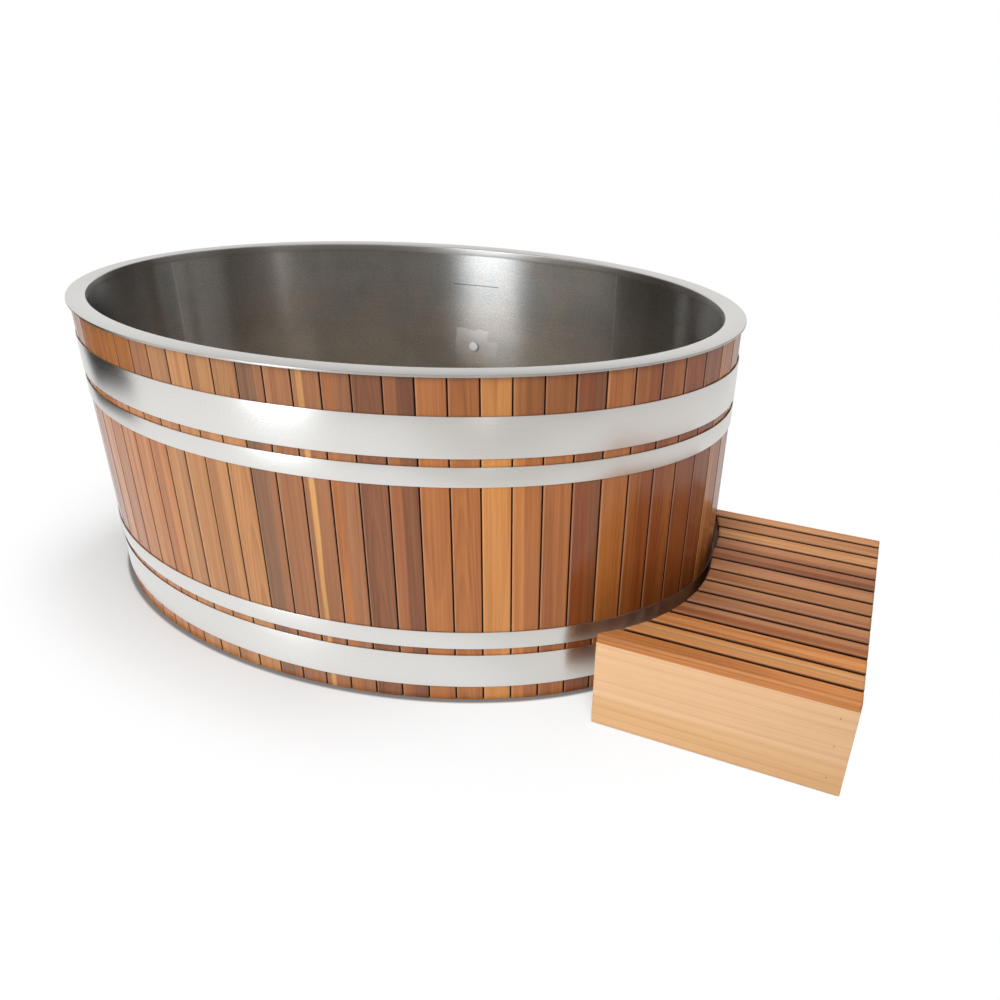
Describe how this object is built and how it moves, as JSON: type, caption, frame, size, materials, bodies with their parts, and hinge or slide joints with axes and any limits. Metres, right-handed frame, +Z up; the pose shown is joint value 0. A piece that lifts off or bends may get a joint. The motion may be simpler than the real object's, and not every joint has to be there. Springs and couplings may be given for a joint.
{
  "type": "cold plunge tub",
  "caption": "Oval stainless plunge tub in a jacket of upright wooden staves held by steel hoops, with a flat rim, a rear drain valve and a loose slatted step scooped to its end.",
  "frame": {"origin": "on the floor under the middle of the tub, on the underside of the middle floor pad", "axes": "+Z up; +X along the oval's long axis towards the step; -Y is the front"},
  "size_m": [1.9145, 1.174, 0.704],
  "materials": {
    "stainless": "fine brushed stainless sheet",
    "polished_steel": "polished stainless",
    "stave_wood": "oiled red-brown softwood, each board its own tone",
    "slat_wood": "oiled red-brown softwood",
    "board_wood": "oiled pale golden softwood",
    "frame_wood": "plain planed softwood and plywood",
    "foam": "closed-cell foam",
    "rubber": "black rubber",
    "pipe_plastic": "pale grey pipe plastic",
    "seat_plastic": "white bearing plastic",
    "nail_steel": "brown coated nail heads"
  },
  "bodies": {
    "tub": {"rim_ring": "stainless", "liner_wall": "stainless", "liner_floor": "stainless", "hoop_upper_wide": "stainless", "hoop_upper_narrow": "stainless", "hoop_lower_narrow": "stainless", "hoop_lower_wide": "stainless", "hoop_rivets": "stainless", "port_body": "stainless", "port_washer": "stainless", "port_locknut": "stainless", "drain_strainer": "stainless", "drain_locknut": "stainless", "valve_body": "stainless", "valve_outlet": "stainless", "port_cap": "polished_steel", "staves_front": "stave_wood", "staves_right": "stave_wood", "staves_rear": "stave_wood", "staves_left": "stave_wood", "bearer_left": "frame_wood", "bearer_centre": "frame_wood", "bearer_right": "frame_wood", "base_panel": "frame_wood", "wall_insulation": "foam", "floor_insulation": "foam", "floor_pads": "rubber", "port_seal": "rubber", "drain_seal": "rubber", "drain_elbow": "pipe_plastic", "drain_pipe": "pipe_plastic", "valve_seats": "seat_plastic"},
    "valve_handle": {"valve_ball": "polished_steel", "valve_stem": "stainless", "valve_lever": "stainless", "lever_nut": "stainless"},
    "step": {"step_slat_01": "slat_wood", "step_slat_02": "slat_wood", "step_slat_03": "slat_wood", "step_slat_04": "slat_wood", "step_slat_05": "slat_wood", "step_slat_06": "slat_wood", "step_slat_07": "slat_wood", "step_slat_08": "slat_wood", "step_slat_09": "slat_wood", "step_slat_10": "slat_wood", "step_slat_11": "slat_wood", "step_slat_12": "slat_wood", "step_slat_13": "slat_wood", "step_scoop_boards": "slat_wood", "step_front_top": "board_wood", "step_front_middle": "board_wood", "step_front_bottom": "board_wood", "step_rear_boards": "board_wood", "step_end_boards": "board_wood", "step_joists": "frame_wood", "step_posts": "frame_wood", "step_pads": "rubber", "step_nails": "nail_steel"}
  },
  "joints": [
    {"name": "drain_valve_turn", "type": "hinge", "parent": "tub", "child": "valve_handle", "pos_m": [0.225, 0.577, 0.0455], "axis": [0, 0, -1], "range_deg": [0, 90]},
    {"name": "step_pull", "type": "slide", "parent": "tub", "child": "step", "axis": [0.9981, -0.0621, 0], "range_m": [0, 0.6]}
  ]
}
